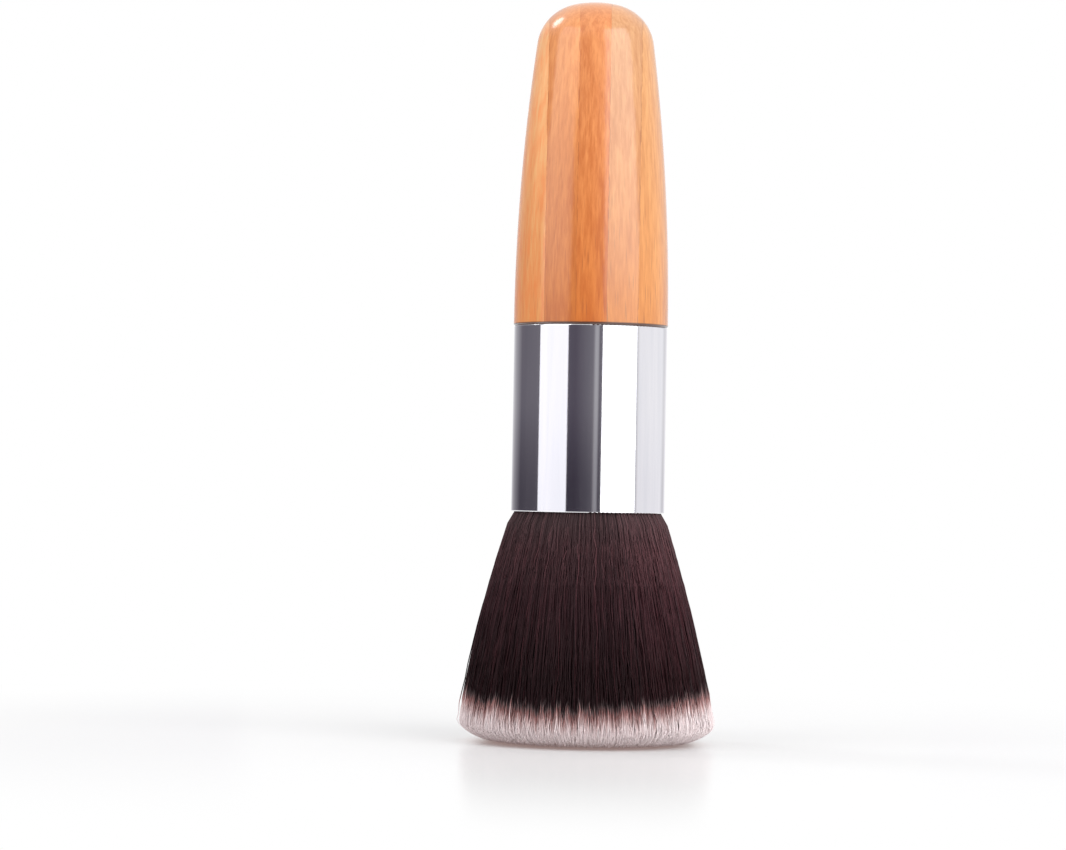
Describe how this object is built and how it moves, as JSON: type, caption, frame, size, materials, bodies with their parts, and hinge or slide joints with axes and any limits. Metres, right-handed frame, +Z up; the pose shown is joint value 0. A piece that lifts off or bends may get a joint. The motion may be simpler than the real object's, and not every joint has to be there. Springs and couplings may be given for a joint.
{
  "type": "kabuki makeup brush",
  "caption": "Flat-topped kabuki makeup brush: a turned bamboo handle, a mirror-bright ferrule and a dense, flared bundle of brown bristles with white ends that bends and springs back.",
  "frame": {"origin": "middle of the flat face of the bristle tips, on which the brush stands", "axes": "+Z up along the brush's axis, from the tips to the handle's crown; +X and +Y across it, with the handle's strips side by side along X"},
  "size_m": [0.0436, 0.0436, 0.1257],
  "materials": {
    "bamboo": "gloss",
    "ferrule_metal": "polished",
    "adhesive": "gloss",
    "thread": "matte",
    "bristle_brown": "satin",
    "bristle_white": "satin"
  },
  "bodies": {
    "handle": {"handle_strip_1": "bamboo", "handle_strip_2": "bamboo", "handle_strip_3": "bamboo", "handle_strip_4": "bamboo", "handle_strip_5": "bamboo", "ferrule": "ferrule_metal", "tenon_glue": "adhesive", "root_plug": "adhesive", "binding_thread": "thread", "bristle_roots": "bristle_brown"},
    "bristle_neck": {"bristle_neck": "bristle_brown"},
    "bristle_head": {"bristle_shafts": "bristle_brown", "bristle_tips": "bristle_white"}
  },
  "joints": [
    {"name": "sway_front_back", "type": "hinge", "parent": "handle", "child": "bristle_neck", "pos_m": [0, 0, 0.033], "axis": [1, 0, 0], "range_deg": [-18, 18], "stiffness_Nm_per_rad": 0.15, "deforming": ["bristle_neck"]},
    {"name": "sway_left_right", "type": "hinge", "parent": "bristle_neck", "child": "bristle_head", "pos_m": [0, 0, 0.024], "axis": [0, 1, 0], "range_deg": [-22, 22], "stiffness_Nm_per_rad": 0.15, "deforming": ["bristle_shafts"]}
  ]
}
